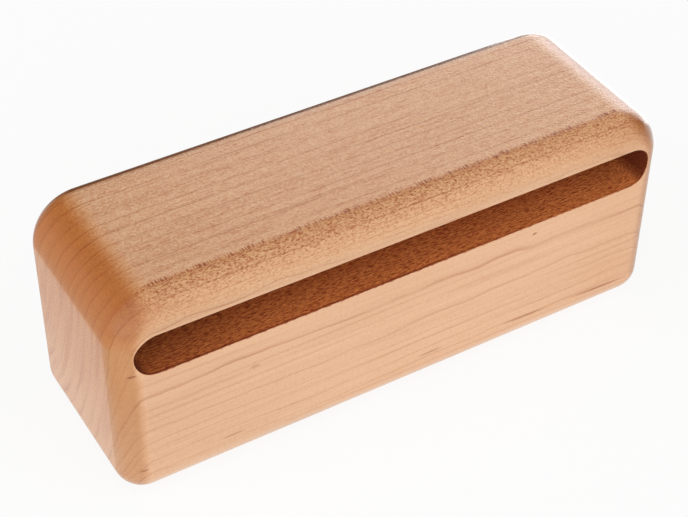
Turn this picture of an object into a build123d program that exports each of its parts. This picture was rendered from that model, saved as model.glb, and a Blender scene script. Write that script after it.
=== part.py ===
"""A concert woodblock: a rounded maple block with one long sound slot in its front.

Three boards are glued face to face. The front and middle boards are routed right
through, and the rear board closes the slot. Millimetres, +Z up, +X along the block,
the slot's mouth towards -Y. The origin is the middle of the bottom face.
"""
import os

from build123d import *

# Driving dimensions of the block
BLOCK_LENGTH = 190.0
BLOCK_HEIGHT = 74.0
FRONT_BOARD_THICKNESS = 21.0
MIDDLE_BOARD_THICKNESS = 21.0
REAR_BOARD_THICKNESS = 21.0
TOP_END_RADIUS = 16.0  # where the top rolls over into the two ends
EDGE_RADIUS = 9.0  # every other outside edge

# Driving dimensions of the sound slot
SLOT_HEIGHT = 14.4  # the diameter of the cutter
TOP_WALL = 10.9  # the wood left above the slot, which is struck
END_WALL = 6.0  # the wood left between the slot's round ends and the block's ends
LIP_RADIUS = 0.2  # the sanded edge of the slot's mouth

# Planes that the boards share, all square to Y, and the slot's own size and place
block_depth = FRONT_BOARD_THICKNESS + MIDDLE_BOARD_THICKNESS + REAR_BOARD_THICKNESS
front_face_y = -block_depth / 2
front_joint_y = front_face_y + FRONT_BOARD_THICKNESS
rear_joint_y = front_joint_y + MIDDLE_BOARD_THICKNESS
rear_face_y = rear_joint_y + REAR_BOARD_THICKNESS
slot_length = BLOCK_LENGTH - 2 * END_WALL
slot_centre_z = BLOCK_HEIGHT - TOP_WALL - SLOT_HEIGHT / 2

os.makedirs("parts", exist_ok=True)


def board_outline(back_y):
    """The block seen from the front, with its top end corners rounded, on a board's back."""
    with BuildSketch(Plane.XZ.offset(-back_y)) as outline:
        Rectangle(BLOCK_LENGTH, BLOCK_HEIGHT, align=(Align.CENTER, Align.MIN))
        fillet(outline.vertices().group_by(Axis.Y)[-1], TOP_END_RADIUS)
    return outline.sketch


def slot_outline(back_y):
    """The slot seen from the front, a straight run with a half circle at each end."""
    with BuildSketch(Plane.XZ.offset(-back_y)) as outline:
        with Locations((0, slot_centre_z)):
            SlotOverall(slot_length, SLOT_HEIGHT)
    return outline.sketch


def bottom_end_edges(board):
    """The two edges along Y where the bottom meets the ends."""
    return board.edges().filter_by(Axis.Y).group_by(Axis.Z)[0]


# Front board: carries the slot's mouth, and its front rim is rounded
with BuildPart() as front_board:
    extrude(board_outline(front_joint_y), amount=FRONT_BOARD_THICKNESS)
    front_rim = front_board.faces().sort_by(Axis.Y)[0].edges()
    fillet(front_rim + bottom_end_edges(front_board), EDGE_RADIUS)
    extrude(slot_outline(front_joint_y), amount=FRONT_BOARD_THICKNESS, mode=Mode.SUBTRACT)
    slot_edges = front_board.edges(Select.LAST).filter_by(Axis.Y, reverse=True)
    fillet(slot_edges.filter_by_position(Axis.Y, front_face_y, front_joint_y - LIP_RADIUS), LIP_RADIUS)
front_board.part.label = "front_board"
export_step(front_board.part, "parts/front_board.step")

# Middle board: glued between the other two, with the slot right through it
with BuildPart() as middle_board:
    extrude(board_outline(rear_joint_y), amount=MIDDLE_BOARD_THICKNESS)
    fillet(bottom_end_edges(middle_board), EDGE_RADIUS)
    extrude(slot_outline(rear_joint_y), amount=MIDDLE_BOARD_THICKNESS, mode=Mode.SUBTRACT)
middle_board.part.label = "middle_board"
export_step(middle_board.part, "parts/middle_board.step")

# Rear board: solid, closes the slot, and its rear rim is rounded
with BuildPart() as rear_board:
    extrude(board_outline(rear_face_y), amount=REAR_BOARD_THICKNESS)
    rear_rim = rear_board.faces().sort_by(Axis.Y)[-1].edges()
    fillet(rear_rim + bottom_end_edges(rear_board), EDGE_RADIUS)
rear_board.part.label = "rear_board"
export_step(rear_board.part, "parts/rear_board.step")
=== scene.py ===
"""The woodblock's looks: three glued maple boards with a clear satin finish and a routed slot."""
import math
from types import SimpleNamespace

import bmesh
import bpy
import numpy as np
from mathutils import Euler, Matrix, Vector


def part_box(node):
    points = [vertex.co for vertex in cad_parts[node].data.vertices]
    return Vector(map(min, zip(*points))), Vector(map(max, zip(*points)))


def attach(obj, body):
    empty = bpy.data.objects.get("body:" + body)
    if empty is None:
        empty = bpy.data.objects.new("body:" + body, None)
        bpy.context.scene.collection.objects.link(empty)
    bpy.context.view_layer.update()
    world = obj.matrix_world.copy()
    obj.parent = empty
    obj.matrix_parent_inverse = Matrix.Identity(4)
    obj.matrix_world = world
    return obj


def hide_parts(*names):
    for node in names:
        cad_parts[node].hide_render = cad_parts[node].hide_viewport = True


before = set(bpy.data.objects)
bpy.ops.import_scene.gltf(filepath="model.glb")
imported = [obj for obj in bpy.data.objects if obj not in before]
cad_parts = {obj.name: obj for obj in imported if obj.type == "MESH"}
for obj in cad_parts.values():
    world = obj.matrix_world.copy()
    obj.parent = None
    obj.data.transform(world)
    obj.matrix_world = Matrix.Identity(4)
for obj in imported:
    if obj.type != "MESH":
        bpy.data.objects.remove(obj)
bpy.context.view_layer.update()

# Rear board
# The solid back of the block, sawn from hard maple. It closes the slot behind the other
# two boards, is glued to the middle one, and has its rear edges rounded over and sanded.
rear_low, rear_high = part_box("rear_board")
half_length = rear_high.x
block_height = rear_high.z
rear_joint = rear_low.y
rear_face = rear_high.y
top_end_radius = 0.016  # where the top rolls over into the ends
edge_radius = 0.009  # every other outside edge
long_steps = 240  # faces along the top and the bottom
corner_steps = 24  # faces round each corner of the outline
end_steps = 24  # faces up each end
rim_steps = 20  # faces across a rounded rim
merge_distance = 1e-6  # points closer than this become one
crease_angle = math.radians(40)  # edges sharper than this stay crisp


def walk_along(stops, steps):
    """Evenly spaced points from stop to stop, as many on each stretch as steps says."""
    stretches = zip(stops, stops[1:], steps)
    return np.concatenate([np.linspace(a, b, n, endpoint=False) for a, b, n in stretches])


def directions(half_turns):
    """Steps x, z of length 1 at angles from +X towards +Z, counted in half turns."""
    angles = half_turns * math.pi
    return np.stack([np.cos(angles), np.sin(angles)], axis=1)


def rounded_outline():
    """The block seen from the front as a walk of corner centres, radii and outward directions.

    A point of the outline is its centre plus its radius along its outward direction, so
    taking a length off every radius moves the whole outline inwards by that length.
    """
    wide = half_length - top_end_radius
    high = block_height - top_end_radius
    foot = half_length - edge_radius
    low = edge_radius

    # Each stop is a centre's x and z, a radius, and the outward angle in half turns
    corners = [
        (-wide, high, top_end_radius, 0.5),
        (wide, high, top_end_radius, 0.5),
        (wide, high, top_end_radius, 0.0),
        (foot, low, edge_radius, 0.0),
        (foot, low, edge_radius, -0.5),
        (-foot, low, edge_radius, -0.5),
        (-foot, low, edge_radius, -1.0),
        (-wide, high, top_end_radius, -1.0),
        (-wide, high, top_end_radius, -1.5),
    ]
    walk = walk_along(corners, [long_steps, corner_steps, end_steps, corner_steps] * 2)
    return walk[:, :2], walk[:, 2], directions(walk[:, 3])


outline_centres, outline_radii, outline_normals = rounded_outline()


def inset_outline(inset):
    """The outline moved inwards by inset, as points x, z."""
    return outline_centres + (outline_radii - inset)[:, None] * outline_normals


def stand(flat, y):
    """Points x, z set up at depth y, as points x, y, z."""
    return np.stack([flat[:, 0], np.broadcast_to(y, len(flat)), flat[:, 1]], axis=1)


def ring(inset, y):
    """The outline moved inwards by inset, standing at depth y."""
    return stand(inset_outline(inset), y)


def wood_piece(name, rows, row_slots, cap_slots, woods):
    """Joins rings of points into a skin of quads, row to row, and closes it.

    With cap_slots it ends in a flat face at its first and last row, and without them it runs
    on from its last row to its first. Both kinds of slots pick the faces' woods.
    """
    points = np.array(rows)
    count, around = points.shape[:2]
    band = np.arange(count - 1 if cap_slots else count)[:, None]
    step = np.arange(around)[None, :]
    after = (band + 1) % count
    beside = (step + 1) % around
    corners = [
        band * around + step,
        after * around + step,
        after * around + beside,
        band * around + beside,
    ]
    quads = np.stack(np.broadcast_arrays(*corners), axis=-1).reshape(-1, 4)
    slots = np.repeat(np.array(row_slots), around)
    faces = quads.tolist()
    if cap_slots:
        faces.append(list(range(around)))
        faces.append(list(range(count * around - 1, (count - 1) * around - 1, -1)))
        slots = np.append(slots, cap_slots)
    mesh = bpy.data.meshes.new(name)
    mesh.from_pydata(points.reshape(-1, 3), [], faces)
    mesh.polygons.foreach_set("material_index", slots.astype(np.int32))
    for wood in woods:
        mesh.materials.append(wood)
    shape = bmesh.new()
    shape.from_mesh(mesh)
    bmesh.ops.remove_doubles(shape, verts=shape.verts, dist=merge_distance)
    bmesh.ops.recalc_face_normals(shape, faces=shape.faces)
    shape.to_mesh(mesh)
    shape.free()
    mesh.shade_smooth()
    mesh.set_sharp_from_angle(angle=crease_angle)
    piece = bpy.data.objects.new(name, mesh)
    bpy.context.scene.collection.objects.link(piece)
    return piece


class Grain:
    """An output of a material's nodes; arithmetic on it adds Math nodes."""

    def __init__(self, tree, socket=None):
        self.tree = tree
        self.socket = socket

    def node(self, kind, settings, sockets, output=0):
        """Adds a node of a kind: its settings come first, then its sockets' values or links.

        The setting points holds a curve's points between its two ends, joined by straight runs.
        """
        made = self.tree.nodes.new("ShaderNode" + kind)
        for key, value in settings.items():
            if key == "points":
                curve = made.mapping.curves[0]
                for across, up in value:
                    curve.points.new(across, up)
                for point in curve.points:
                    point.handle_type = "VECTOR"
                made.mapping.update()
            else:
                setattr(made, key, value)
        for key, value in sockets.items():
            if isinstance(value, Grain):
                self.tree.links.new(value.socket, made.inputs[key])
            else:
                made.inputs[key].default_value = value
        return Grain(self.tree, made.outputs[output] if made.outputs else None)

    def math(self, operation, first, second=0.0):
        """A Math node on two values or links; some operations use only the first."""
        return self.node("Math", {"operation": operation}, {0: first, 1: second})

    def __add__(self, other):
        return self.math("ADD", self, other)

    def __sub__(self, other):
        return self.math("SUBTRACT", self, other)

    def __mul__(self, other):
        return self.math("MULTIPLY", self, other)

    def __truediv__(self, other):
        return self.math("DIVIDE", self, other)

    def __rsub__(self, other):
        return self.math("SUBTRACT", other, self)

    __radd__ = __add__
    __rmul__ = __mul__

    def size(self):
        """The number without its sign."""
        return self.math("ABSOLUTE", self)

    def axes(self):
        """The x, y and z of a vector, each as a number."""
        split = self.node("SeparateXYZ", {}, {0: self})
        return [Grain(self.tree, output) for output in split.socket.node.outputs]

    def rise(self, start, end):
        """0 before start, 1 after end, and a smooth step between them."""
        settings = {"interpolation_type": "SMOOTHSTEP"}
        return self.node("MapRange", settings, {"Value": self, "From Min": start, "From Max": end})

    def noise(self, place, scale, detail):
        """Smooth noise about 0; scale is how fine it is along each axis, per metre."""
        moved = self.node("Mapping", {}, {"Vector": place, "Scale": scale})
        sockets = {"Vector": moved, "Scale": 1.0, "Detail": detail, "Roughness": 0.5}
        return self.node("TexNoise", {}, sockets) - 0.5

    def tinted(self, colour, tints):
        """A colour multiplied by each tint in turn, as strongly as the tint's factor says.

        A Mix node takes colours at its inputs 6 and 7, and gives one at its output 2.
        """
        settings = {"data_type": "RGBA", "blend_type": "MULTIPLY"}
        for factor, stain in tints:
            colour = self.node("Mix", settings, {0: factor, 6: colour, 7: stain}, 2)
        return colour


def fresh_nodes(owner):
    """Clears the nodes of a material or world, and gives the Grain that adds new ones."""
    owner.use_nodes = True
    owner.node_tree.nodes.clear()
    return Grain(owner.node_tree)


def srgb(red, green, blue):
    """A colour written as 0 to 255, as linear values with alpha."""
    share = np.array([red, green, blue]) / 255
    linear = np.where(share <= 0.04045, share / 12.92, ((share + 0.055) / 1.055) ** 2.4)
    return (*linear.tolist(), 1.0)


# The tree's pith, above and behind the block, and how far from it each year's wood ends.
# The years are closest where they cross the front above the slot.
pith_y = 0.1255
pith_z = 0.085
ring_edges = [
    0.0900, 0.0945, 0.0990, 0.1040, 0.1084, 0.1147, 0.1194, 0.1241, 0.1287, 0.1324,
    0.1362, 0.1403, 0.1456, 0.1502, 0.1545, 0.1567, 0.1574, 0.1578, 0.1583, 0.1598,
    0.1632, 0.1646, 0.1675, 0.1695, 0.1706, 0.1721, 0.1740, 0.1765, 0.1800,
]


def maple_figure(grain):
    """The figure of the solid wood at each of its points.

    Growth rings are distances from the pith, rays point at the pith, and fibres run along X.
    """
    figure = SimpleNamespace()
    figure.place = grain.node("TexCoord", {}, {}, "Object")
    figure.x, figure.y, figure.z = figure.place.axes()
    facing = grain.node("TexCoord", {}, {}, "Normal")
    figure.face_x, figure.face_y, figure.face_z = facing.axes()
    figure.forward = 0 - figure.face_y

    # Growth rings: the distance from the pith, a little wavy, counted in years
    inward = pith_y - figure.y
    upward = pith_z - figure.z
    reach = grain.math("SQRT", inward * inward + upward * upward)
    wave = grain.noise(figure.place, (12, 30, 30), 2.0) * 0.0018
    wave = wave + grain.noise(figure.place, (60, 90, 90), 2.0) * 0.0010
    wave = wave + grain.noise(figure.place, (4, 100, 100), 2.0) * 0.0018
    radius = reach + wave
    first, last = ring_edges[0], ring_edges[-1]
    years = len(ring_edges) - 1
    inner_edges = enumerate(ring_edges[1:-1], start=1)
    points = [((edge - first) / (last - first), year / years) for year, edge in inner_edges]
    grown = (radius - first) / (last - first)
    count = grain.node("FloatCurve", {"points": points}, {"Value": grown}) * years
    year_number = {"W": grain.math("FLOOR", count)}
    year_mark = grain.node("TexWhiteNoise", {"noise_dimensions": "1D"}, year_number)
    patchy = grain.noise(figure.place, (30, 120, 120), 2.0).rise(-0.22, 0.12)
    figure.season = grain.math("FRACT", count)
    line = figure.season.rise(0.84, 0.96) * (1 - figure.season.rise(0.97, 1.0))
    figure.late_wood = line * (0.3 + year_mark * 0.7) * (0.15 + patchy)

    # How a face is cut: quarter is 1 where it lies along the rays, as on the top, and 0
    # where it lies across them, as on the front; end_cut is 1 on the ends
    across = (figure.face_y * inward + figure.face_z * upward) / reach
    figure.end_cut = figure.face_x.size()
    figure.quarter = 1 - across * across - figure.end_cut * figure.end_cut

    # Wood rays: short ribbons along the radius, which show as flecks; around is the angle about
    # the pith as a length at the block's usual distance from it
    around = grain.math("ARCTAN2", upward, inward) * 0.14
    fan = grain.node("CombineXYZ", {}, {0: figure.x, 1: around, 2: radius})
    ray_place = grain.node("Mapping", {}, {"Vector": fan, "Scale": (1300, 2800, 1600)})
    ray_cells = {"Vector": ray_place, "Scale": 1.0}
    cell = grain.node("TexVoronoi", {"feature": "SMOOTH_F1"}, ray_cells, "Distance")
    figure.rays = 1 - cell.rise(0.1, 0.7)
    figure.specks = 1 - cell.rise(0.15, 0.48)
    figure.streaks = grain.noise(fan, (0, 28, 340), 1.5).rise(-0.04, 0.2)

    # Fibres along the length, fine pores and broad clouds
    figure.fibre = grain.noise(figure.place, (30, 900, 900), 3.0)
    figure.stipple = grain.noise(figure.place, (1100, 2600, 2600), 1.0)
    figure.cloud = grain.noise(figure.place, (12, 60, 40), 2.0)
    return figure


# Where the finish changes: the front face, the rounding of the top, and the slot's lower lip
front_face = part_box("front_board")[0].y
top_reach = half_length - top_end_radius
round_start = block_height - edge_radius
fleck_start = front_face + edge_radius + 0.0006
slot_height = 0.0144
top_wall = 0.0109
end_wall = 0.006
slot_radius = slot_height / 2
slot_floor = block_height - top_wall - slot_height
slot_reach = half_length - end_wall - slot_radius


def edge_marks(grain, wood):
    """Marks along the edges, each from 0 to 1.

    Where the top rounds over to the front, the rays are cut aslant: first teeth, then dots in
    a band that fades out, over painted shade. The slot's lower lip holds a dark ragged line,
    and the rear edge holds painted shade.
    """
    edges = SimpleNamespace()
    edges.upper = wood.z.rise(round_start - 0.003, round_start)

    # Teeth about 1.1 mm apart, in groups
    over = fleck_start - wood.y + grain.noise(wood.place, (700, 0, 0), 1.0) * 0.0014
    shaken = wood.x + grain.noise(wood.place, (300, 0, 0), 1.0) * 0.004
    tooth = grain.math("SINE", shaken * 5600) * 0.35
    tooth = tooth + grain.noise(wood.place, (150, 0, 0), 1.0) * 2.0
    tooth = tooth + grain.noise(wood.place, (600, 0, 0), 1.0) * 1.2
    teeth = tooth.rise(0.0, 0.5) * over.rise(0.0, 0.0003) * (1 - over.rise(0.0012, 0.0020))
    edges.teeth = teeth * edges.upper * (1 - wood.end_cut.rise(0.02, 0.15))

    # Dots on the rounding, and the band they start in, which is darkened as painted shade
    band = over.rise(0.0, 0.0008) * (1 - over.rise(0.0014, 0.0042))
    edges.band = band * edges.upper * (1 - wood.end_cut.rise(0.02, 0.3))
    edges.bend = wood.forward.rise(0.02, 0.07) * (1 - wood.end_cut) * edges.upper
    dots = wood.specks * 0.55 + wood.stipple.rise(0.02, 0.14) * 0.7
    edges.dots = edges.bend * dots * (0.1 + wood.quarter)

    # A dark ragged line on the slot's lower lip, fainter to the right
    ragged = grain.noise(wood.place, (420, 0, 0), 2.0).rise(-0.1, 0.25) * 0.0004
    torn = (wood.z - slot_floor + ragged).rise(-0.00012, 0.00012)
    torn = torn * (1 - wood.z.rise(slot_floor + 0.0003, slot_floor + 0.0007))
    torn = torn * wood.forward.rise(0.1, 0.3)
    torn = torn * (1 - wood.x.size().rise(slot_reach - 0.0018, slot_reach + 0.0012))
    edges.torn_lip = torn * (0.85 - wood.x.rise(0.0, 0.06) * 0.35)

    # The rear rounding, glossier than the rest, and painted shade along it
    gloss = wood.face_y.rise(0.1, 0.35) * (1 - wood.face_y.rise(0.6, 0.9))
    edges.rear_gloss = gloss * edges.upper
    stain = wood.face_y.rise(0.24, 0.31) * (1 - wood.face_y.rise(0.42, 0.6)) * edges.upper
    edges.rear_stain = stain * (1 - wood.x.size().rise(top_reach + 0.002, top_reach + 0.006))
    return edges


def end_marks(wood):
    """Parts of the ends, each from 0 to 1.

    Sawn across the fibres, the ends drink in the finish; their roundings are darker still,
    partly from that and partly as painted shade.
    """
    ends = SimpleNamespace()
    ends.flat = wood.end_cut.rise(0.990, 0.999)
    ends.rounded = wood.end_cut.rise(0.08, 0.5) * (1 - ends.flat)
    ends.top = ends.rounded * wood.face_z.rise(0.02, 0.15)
    ends.top = ends.top * (1 - wood.forward.rise(0.05, 0.7) * 0.8)
    ends.right = wood.face_x.rise(0.35, 0.75) * wood.face_z.rise(0.05, 0.3)
    ends.sawn = wood.end_cut.rise(0.3, 0.8) * (0.3 + ends.flat * 0.7)
    ends.soaked = wood.end_cut.rise(0.05, 0.45) * (0.7 + wood.z.rise(0.01, 0.05) * 0.3)

    # All roundings near the ends: 1 less the fourth powers of the normal is 0 on a flat face
    x_x, y_y, z_z = (face * face for face in (wood.face_x, wood.face_y, wood.face_z))
    rounding = 1 - (x_x * x_x + y_y * y_y + z_z * z_z)
    ends.near = wood.x.size().rise(0.064, 0.088) * rounding * wood.face_z.rise(0.0, 0.4)
    return ends


# Small dark marks on the front: x, z, half length, half height, slope and strength
front_marks = [
    (0.0463, 0.0449, 0.0012, 0.0006, 0.1, 0.8),
    (-0.0519, 0.0365, 0.0022, 0.0008, 0.0, 0.35),
    (-0.0900, 0.0502, 0.0016, 0.0005, 0.25, 0.8),
    (-0.0890, 0.0115, 0.0016, 0.0005, 0.25, 0.7),
    (-0.0600, 0.0119, 0.0050, 0.0005, 0.0, 0.45),
    (0.0095, 0.0121, 0.0055, 0.0005, 0.0, 0.5),
    (0.0450, 0.0106, 0.0110, 0.0006, -0.035, 0.6),
    (0.0750, 0.0096, 0.0130, 0.0006, -0.035, 0.7),
]


def clear_maple():
    """Maple under a clear satin finish: pale faces, darker ends, and flecks on the front edge."""
    material = bpy.data.materials.new("clear_maple")
    grain = fresh_nodes(material)
    wood = maple_figure(grain)
    edges = edge_marks(grain, wood)
    ends = end_marks(wood)

    dashes = grain.noise(wood.place, (260, 1600, 1600), 2.0).rise(0.0, 0.2)
    right_front = wood.x.rise(0.045, 0.085) * wood.forward.rise(0.5, 0.9)
    summer = grain.math("POWER", wood.season, 2.0) * (0.12 + wood.end_cut * 0.25)
    lines = wood.late_wood * (0.5 + wood.quarter * 0.2 - wood.face_x * wood.face_x * 0.1)
    threads = grain.noise(wood.place, (7, 800, 800), 1.0).rise(0.06, 0.22) * (1 - wood.end_cut)
    pores = wood.stipple.rise(-0.02, 0.16) * (0.16 + wood.quarter * 0.32)
    pores = pores * (1 - wood.end_cut * 0.7)

    # The wood's own figure comes first, the front darker towards its right end among it, then the
    # edges with their painted shade, the fibres, the ends with theirs, and the front's marks
    tints = [
        (wood.cloud + 0.5, srgb(244, 236, 228)),
        (wood.quarter, srgb(255, 252, 246)),
        (dashes * wood.quarter * 0.5, srgb(226, 182, 150)),
        # Darker towards the right end of the front
        (right_front * 0.6, srgb(246, 240, 232)),
        (summer, srgb(232, 212, 196)),
        (lines, srgb(205, 168, 130)),
        (threads * 0.3, srgb(222, 194, 166)),
        (wood.rays * (0.08 + wood.quarter * 0.2), srgb(212, 170, 132)),
        (pores, srgb(224, 182, 150)),
        (wood.streaks * ends.sawn * 0.4, srgb(222, 172, 125)),
        # Painted shade: darker and warmer on the rounding from the top to the front
        (edges.bend * wood.quarter, srgb(252, 246, 232)),
        (wood.forward.rise(0.05, 0.4) * edges.upper, srgb(244, 242, 237)),
        (edges.dots * 0.85, srgb(200, 150, 96)),
        # A band of painted shade where the flecks start
        (edges.band * 0.4, srgb(238, 218, 196)),
        (edges.teeth, srgb(192, 140, 84)),
        # Painted shade along the rear rounding
        (edges.rear_stain, srgb(176, 142, 114)),
        # A dark ragged line on the slot's lower lip
        (edges.torn_lip, srgb(185, 125, 80)),
        (wood.fibre + 0.3, srgb(240, 230, 220)),
        # The ends: end grain that drinks in the finish, and on the roundings painted shade as well
        (ends.soaked, (0.88, 0.66, 0.41, 1.0)),
        (ends.flat, (0.92, 0.90, 0.86, 1.0)),
        (ends.rounded, (0.79, 0.82, 0.88, 1.0)),
        (ends.top, (0.96, 0.78, 0.54, 1.0)),
        (ends.near, (0.83, 0.67, 0.47, 1.0)),
    ]
    for mark_x, mark_z, half_run, half_rise, slope, strength in front_marks:
        run = (wood.x - mark_x) / half_run
        lift = (wood.z - mark_z - (wood.x - mark_x) * slope) / half_rise
        mark = (1 - run * run - lift * lift).rise(0.0, 1.0) * wood.forward.rise(0.3, 0.6)
        tints.append((mark * strength, srgb(180, 122, 66)))

    height = wood.rays * (0.15 + wood.quarter)
    height = height + wood.stipple * (0.6 + wood.quarter * 0.6) + wood.fibre * 0.3
    height = height * (1 - wood.end_cut * 0.95)
    shader = grain.node("BsdfPrincipled", {}, {
        "Base Color": grain.tinted(srgb(236, 193, 156), tints),
        "Roughness": 0.24 + wood.stipple * 0.1 + wood.end_cut * 0.04 - edges.rear_gloss * 0.12,
        "Normal": grain.node("Bump", {}, {"Distance": 0.00005, "Height": height}),
        "IOR": 1.5,
        "Coat Weight": ends.flat * (0.26 - wood.streaks * 0.06) + ends.right,
        "Coat Roughness": 0.1,
        "Coat IOR": 1.5,
    })
    grain.node("OutputMaterial", {}, {"Surface": shader})
    return material


def routed_maple():
    """Bare maple as a router leaves it: dull and fuzzy, its torn fibres along the slot.

    It is darker than the faces, with painted shade at the slot's left end, near its mouth,
    deeper in and on its end walls, where the end grain darkens it too.
    """
    material = bpy.data.materials.new("routed_maple")
    grain = fresh_nodes(material)
    wood = maple_figure(grain)
    torn = grain.noise(wood.place, (450, 2300, 2300), 2.0)
    depth = wood.y - front_face
    mouth = 1 - depth.rise(0.0002, 0.0095)
    brink = 1 - (depth + grain.noise(wood.place, (400, 0, 0), 2.0) * 0.0012).rise(0.0004, 0.0014)
    tints = [
        (wood.cloud + 0.5, srgb(240, 228, 218)),
        (wood.late_wood * 0.4, srgb(200, 160, 130)),
        (torn.rise(-0.05, 0.15), srgb(186, 152, 132)),
        (wood.rays * 0.6, srgb(195, 155, 125)),
        # Painted shade: darker at the slot's left end, near the mouth and deeper in
        (1 - wood.x.rise(-0.092, -0.03), srgb(228, 214, 202)),
        (depth.rise(0.004, 0.026) * 0.8, srgb(228, 215, 205)),
        (mouth, srgb(240, 228, 214)),
        (brink * (1 - wood.x.rise(0.0, 0.06) * 0.7), srgb(190, 150, 128)),
        # The end walls: darker end grain, and painted shade as well
        (wood.end_cut.rise(0.3, 0.9), srgb(150, 115, 85)),
    ]
    height = torn + wood.rays * 0.5 + wood.fibre
    shader = grain.node("BsdfPrincipled", {}, {
        "Base Color": grain.tinted(srgb(238, 156, 88), tints),
        "Roughness": 0.8,
        "Normal": grain.node("Bump", {}, {"Distance": 0.00012, "Height": height}),
        "IOR": 1.4,
    })
    grain.node("OutputMaterial", {}, {"Surface": shader})
    return material


woods = [clear_maple(), routed_maple()]
clear, routed = 0, 1  # the places of the two woods in that list

rear_rows = [ring(0.0, rear_joint)]
rear_rows += [
    ring(edge_radius * (1 - math.cos(turn)), rear_face - edge_radius * (1 - math.sin(turn)))
    for turn in np.linspace(0, math.pi / 2, rim_steps + 1)
]
rear_slots = [clear] * (len(rear_rows) - 1)
rear_board = wood_piece("rear_board_wood", rear_rows, rear_slots, [routed, clear], woods)
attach(rear_board, "root")
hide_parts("rear_board")

# Middle board
# A maple board of the same outline, glued between the other two. The slot is routed right
# through it, and its walls are left as the cutter leaves them, without finish and darker,
# partly as painted shade.
front_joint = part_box("middle_board")[0].y
slot_middle = block_height - top_wall - slot_radius


def slot_walk():
    """The slot as a walk of centres and outward directions, as many steps as the outline has.

    A point of the slot is its centre on the middle line plus the slot's radius outwards.
    """
    round_steps = 2 * corner_steps + end_steps

    # Each stop is a place on the middle line, from -1 to 1, and the outward angle in half turns
    stops = [(-1.0, 0.5), (1.0, 0.5), (1.0, -0.5), (-1.0, -0.5), (-1.0, -1.5)]
    walk = walk_along(stops, [long_steps, round_steps] * 2)
    centres = np.stack([walk[:, 0] * slot_reach, np.full(len(walk), slot_middle)], axis=1)
    return centres, directions(walk[:, 1])


slot_centres, slot_normals = slot_walk()


def slot_ring(spread, y):
    """The slot's outline, widened by spread, standing at depth y."""
    return stand(slot_centres + (slot_radius + spread) * slot_normals, y)


middle_rows = [
    slot_ring(0.0, rear_joint),
    slot_ring(0.0, front_joint),
    ring(0.0, front_joint),
    ring(0.0, rear_joint),
]
middle_slots = [routed, clear, clear, clear]
middle_board = wood_piece("middle_board_wood", middle_rows, middle_slots, [], woods)
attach(middle_board, "root")
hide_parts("middle_board")

# Front board
# The maple board that carries the slot's mouth, glued to the middle one. Its front edges
# are rounded over, the slot's ends run out into that rounding, and the lip is just sanded.
lip_radius = 0.0002
lip_steps = 5
skin_steps = 44
skin_crowding = 0.7  # under 1, so that the skin's rows crowd towards the rim
wall_steps = 12
rim_start = 0.004  # how far inside the outline the skin ends and the rim's own rows begin


def front_depth(flat):
    """The front skin's y at points x, z.

    It is flat, and a quarter circle within the edge radius of the outline.
    """
    across = np.abs(flat[:, 0])
    up = flat[:, 1]
    straight = np.minimum(half_length - across, np.minimum(block_height - up, up))
    top_x = across - (half_length - top_end_radius)
    top_z = up - (block_height - top_end_radius)
    foot_x = across - (half_length - edge_radius)
    foot_z = edge_radius - up
    top_corner = top_end_radius - np.hypot(top_x, top_z)
    foot_corner = edge_radius - np.hypot(foot_x, foot_z)
    inside = np.where((top_x > 0) & (top_z > 0), top_corner, straight)
    inside = np.where((foot_x > 0) & (foot_z > 0), foot_corner, inside)
    short = np.clip(edge_radius - inside, 0, edge_radius)
    return front_face + edge_radius - np.sqrt(edge_radius**2 - short**2)


lip_edge = slot_centres + (slot_radius + lip_radius) * slot_normals
lip_depth = front_depth(lip_edge)
rim_edge = inset_outline(rim_start)
rim_turn = math.asin(1 - rim_start / edge_radius)
wall_rows = [
    slot_ring(0.0, front_joint + (lip_depth + lip_radius - front_joint) * share)
    for share in np.linspace(0, 1, wall_steps)
]
lip_rows = [
    slot_ring(lip_radius * (1 - math.sin(turn)), lip_depth + lip_radius * (1 - math.cos(turn)))
    for turn in np.linspace(math.pi / 2, 0, lip_steps + 1)[1:-1]
]
skin_lines = [
    lip_edge + (rim_edge - lip_edge) * share
    for share in np.linspace(0, 1, skin_steps) ** skin_crowding
]
skin_rows = [stand(line, front_depth(line)) for line in skin_lines]
rim_rows = [
    ring(edge_radius * (1 - math.sin(turn)), front_face + edge_radius * (1 - math.cos(turn)))
    for turn in np.linspace(rim_turn, math.pi / 2, rim_steps)[1:]
]
front_rows = wall_rows + lip_rows + skin_rows + rim_rows + [ring(0.0, front_joint)]
wall_bands = len(wall_rows) - 1
front_slots = [routed] * wall_bands + [clear] * (len(front_rows) - wall_bands)
front_board = wood_piece("front_board_wood", front_rows, front_slots, [], woods)
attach(front_board, "root")
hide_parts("front_board")

# Studio
# A plain pale floor, soft light, and the camera at the photograph's view.
floor_size = 4.0
white = (1.0, 1.0, 1.0, 1.0)
floor_corners = np.array([(-1, -1, 0), (1, -1, 0), (1, 1, 0), (-1, 1, 0)]) * floor_size / 2
floor_mesh = bpy.data.meshes.new("floor")
floor_mesh.from_pydata(floor_corners, [], [(0, 1, 2, 3)])
floor = bpy.data.objects.new("floor", floor_mesh)
bpy.context.scene.collection.objects.link(floor)

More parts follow.
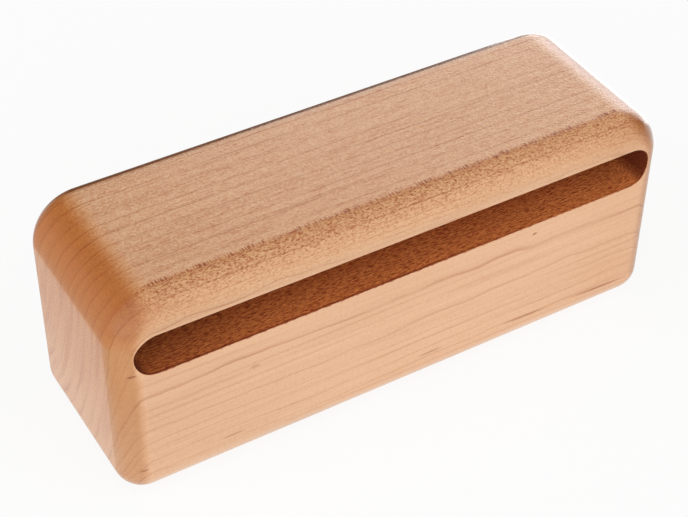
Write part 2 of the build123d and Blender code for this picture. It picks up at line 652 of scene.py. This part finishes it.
# The floor is white paper. In the finish's sheen it is dark behind the block and dim to its
# left, as a room would be, and bright past the right end.
paper = bpy.data.materials.new("pale_paper")
sheet = fresh_nodes(paper)
aside, back = sheet.node("TexCoord", {}, {}, "Object").axes()[:2]
past_end = aside - back * 0.45
behind = back.rise(0.045, 0.075) * aside.rise(-0.10, -0.06) * (1 - past_end.rise(0.080, 0.092))
panel = back.rise(0.036, 0.070) * past_end.rise(0.082, 0.094) * (1 - back.rise(0.20, 0.35))
left = (1 - aside.rise(-0.15, -0.08)) * back.rise(-0.06, -0.03)
seen = sheet.node("LightPath", {}, {}, "Is Camera Ray")
lit = sheet.node("LightPath", {}, {}, "Is Diffuse Ray")
mirrored = sheet.node("LightPath", {}, {}, "Is Glossy Ray")
shade = mirrored * (1 - (1 - behind * 0.95) * (1 - left * 0.5))
shine = 1 - shade + mirrored * panel * 1.8
matt = sheet.node("BsdfDiffuse", {}, {"Color": (0.9, 0.9, 0.9, 1.0)})
bright = sheet.node("Emission", {}, {"Color": white, "Strength": shine})
glowing = seen * 0.88 + lit + mirrored * 0.95
mixed = sheet.node("MixShader", {}, {0: glowing, 1: matt, 2: bright})
sheet.node("OutputMaterial", {}, {"Surface": mixed})
floor_mesh.materials.append(paper)

# The room: light from the front, above and a little left, and a low glow in the sheen on the left
world = bpy.data.worlds.new("studio")
air = fresh_nodes(world)
way = air.node("TexCoord", {}, {}, "Generated")
window = {0: way, 1: (-0.3, -0.7, 0.65)}
ahead = air.node("VectorMath", {"operation": "DOT_PRODUCT"}, window, "Value")
sideways, _, aloft = way.axes()
glow = (0 - sideways).rise(0.1, 0.5) * (1 - aloft.rise(0.05, 0.6)) * 0.6
glow = glow * air.node("LightPath", {}, {}, "Is Glossy Ray")
light = 0.04 + ahead.rise(-0.2, 0.8) * 1.15 + glow
seen_air = air.node("LightPath", {}, {}, "Is Camera Ray")
strength = light * (1 - seen_air) + seen_air
haze = air.node("Background", {}, {"Color": white, "Strength": strength})
air.node("OutputWorld", {}, {"Surface": haze})
bpy.context.scene.world = world

lamp_distance = 1.3


def softbox(name, azimuth, elevation, size, power, sheen):
    """A rectangular lamp that faces the block; its azimuth turns from the front to the right.

    A lamp with sheen shows only in the finish, and any other one only gives plain light.
    """
    turn = math.radians(azimuth)
    rise = math.radians(elevation)
    level = math.cos(rise)
    outward = Vector((math.sin(turn) * level, -math.cos(turn) * level, math.sin(rise)))
    lamp = bpy.data.lights.new(name, "AREA")
    lamp.shape = "RECTANGLE"
    lamp.size, lamp.size_y = size
    lamp.energy = power
    holder = bpy.data.objects.new(name, lamp)
    holder.location = Vector((0.0, 0.0, block_height / 2)) + outward * lamp_distance
    holder.rotation_euler = (-outward).to_track_quat("-Z", "Y").to_euler()
    holder.visible_glossy = sheen
    holder.visible_diffuse = not sheen
    bpy.context.scene.collection.objects.link(holder)


# Two lamps that show in the finish, and two that fill the shade
softbox("rear_softbox", 136.0, 25.0, (1.2, 0.98), 6.8, True)
softbox("edge_softbox", 120.0, 10.0, (1.1, 0.6), 5.8, True)
softbox("front_softbox", -5.0, 8.0, (1.8, 0.5), 2.0, False)
softbox("left_softbox", -95.0, 12.0, (1.2, 0.6), 4.5, False)

# The camera, fitted to the block's outline in the photograph
camera_aim = Vector((-0.00444, -0.00184, 0.0345))
camera_distance = 0.5463
camera_azimuth = math.radians(31.16)
camera_elevation = math.radians(41.32)
camera_roll = math.radians(0.733)
focal_pixels = 1750.5
frame_width = 688
camera = bpy.data.objects.new("camera", bpy.data.cameras.new("camera"))
camera.data.sensor_width = 36.0
camera.data.lens = camera.data.sensor_width * focal_pixels / frame_width
level_turn = Euler((math.pi / 2 - camera_elevation, 0.0, -camera_azimuth)).to_matrix()
turn = level_turn @ Matrix.Rotation(camera_roll, 3, "Z")
camera.matrix_world = Matrix.Translation(camera_aim + turn.col[2] * camera_distance) @ turn.to_4x4()
bpy.context.scene.collection.objects.link(camera)
bpy.context.scene.camera = camera
bpy.context.scene.view_settings.view_transform = "Standard"
